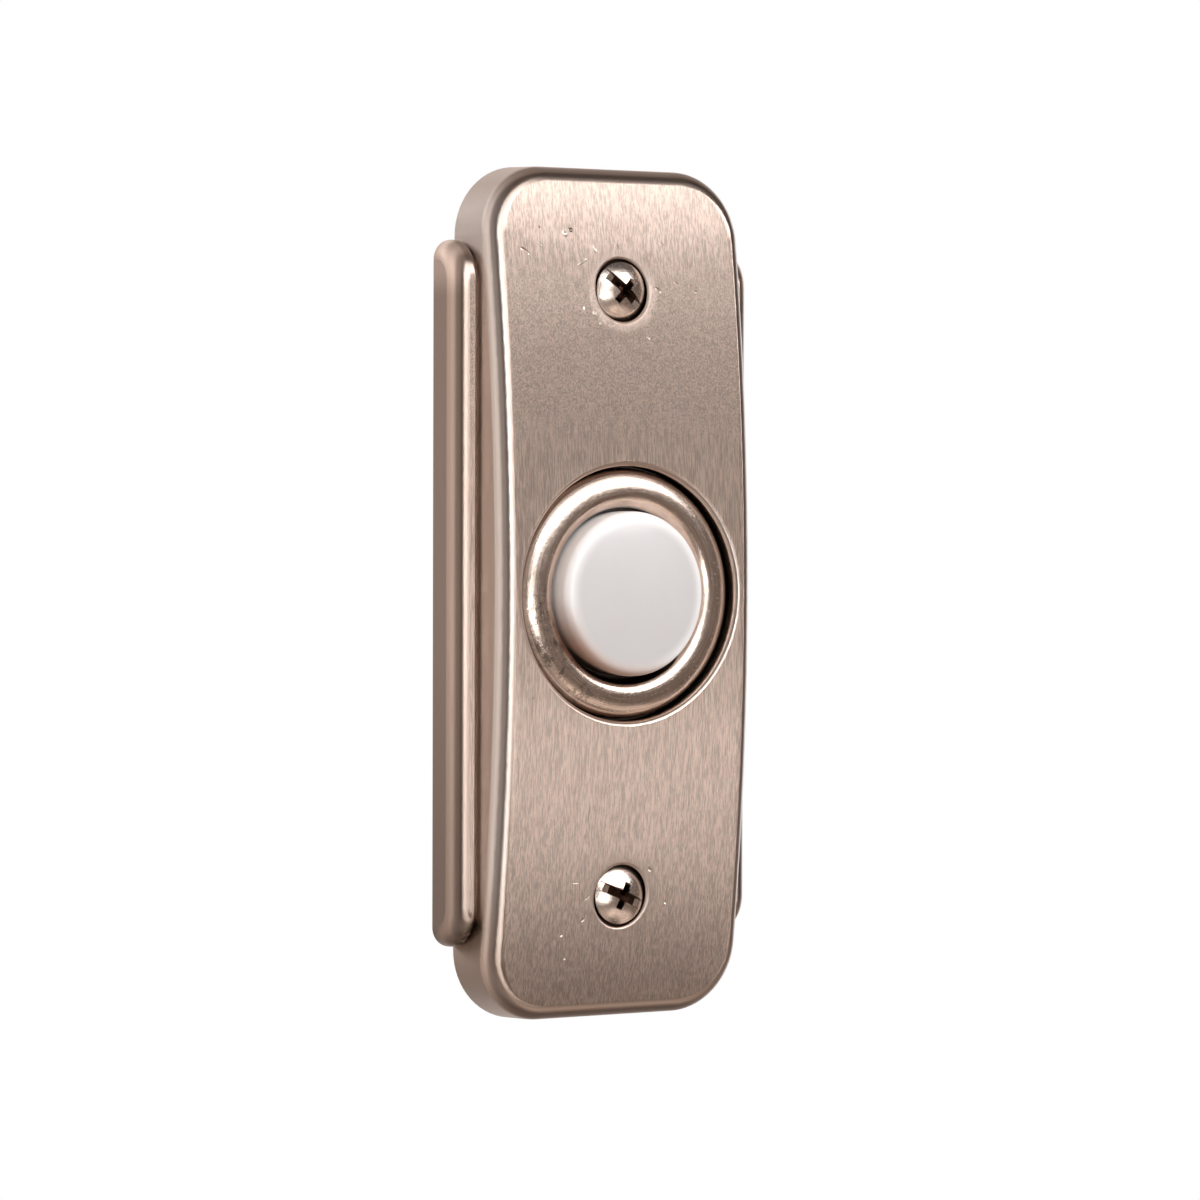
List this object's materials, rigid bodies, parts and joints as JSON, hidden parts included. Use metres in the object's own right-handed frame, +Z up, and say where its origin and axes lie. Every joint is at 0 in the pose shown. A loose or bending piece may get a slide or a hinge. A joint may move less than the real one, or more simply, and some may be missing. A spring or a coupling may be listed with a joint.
{
  "type": "doorbell push button",
  "caption": "Wall-mounted rectangular doorbell button: bowed brushed cover with side wings, round trim ring and a sprung domed push button.",
  "frame": {"origin": "on the wall plane, midway between the two mounting screws and behind the middle of the button", "axes": "+X across the cover to the right, +Y into the wall along the screws and the button's travel, +Z up along the cover's height"},
  "size_m": [0.0406, 0.0308, 0.098],
  "materials": {
    "cover_nickel": "satin nickel over a zinc casting, brushed along its height",
    "ring_nickel": "polished nickel, handled and lightly scratched",
    "screw_nickel": "nickel-plated steel",
    "button_plastic": "milky translucent white, polished",
    "base_plastic": "black phenolic moulding",
    "brass": "plain stamped or turned brass",
    "terminal_plate": "bright plated steel",
    "plated_steel": "zinc-plated spring steel",
    "spring_steel": "drawn spring wire",
    "lamp_resin": "clear amber resin",
    "board_laminate": "brown phenolic laminate",
    "resistor_body": "lacquered",
    "diode_body": "black resin"
  },
  "bodies": {
    "housing": {"front_cover": "cover_nickel", "trim_ring": "ring_nickel", "lock_washer": "plated_steel", "retaining_nut": "brass", "return_spring": "spring_steel", "switch_base": "base_plastic", "contact_upper": "brass", "contact_lower": "brass", "terminal_screw_upper": "terminal_plate", "terminal_screw_lower": "terminal_plate", "eyelet_upper": "brass", "eyelet_lower": "brass", "lamp": "lamp_resin", "lamp_board": "board_laminate", "resistor": "resistor_body", "diode": "diode_body", "mounting_screw_upper": "screw_nickel", "mounting_screw_lower": "screw_nickel"},
    "button": {"button_cap": "button_plastic", "moving_contact": "brass"}
  },
  "joints": [
    {"name": "button_press", "type": "slide", "parent": "housing", "child": "button", "axis": [0, 1, 0], "range_m": [0, 0.0015], "stiffness_N_per_m": 450, "springref_m": -0.002, "deforming": ["return_spring"]}
  ]
}
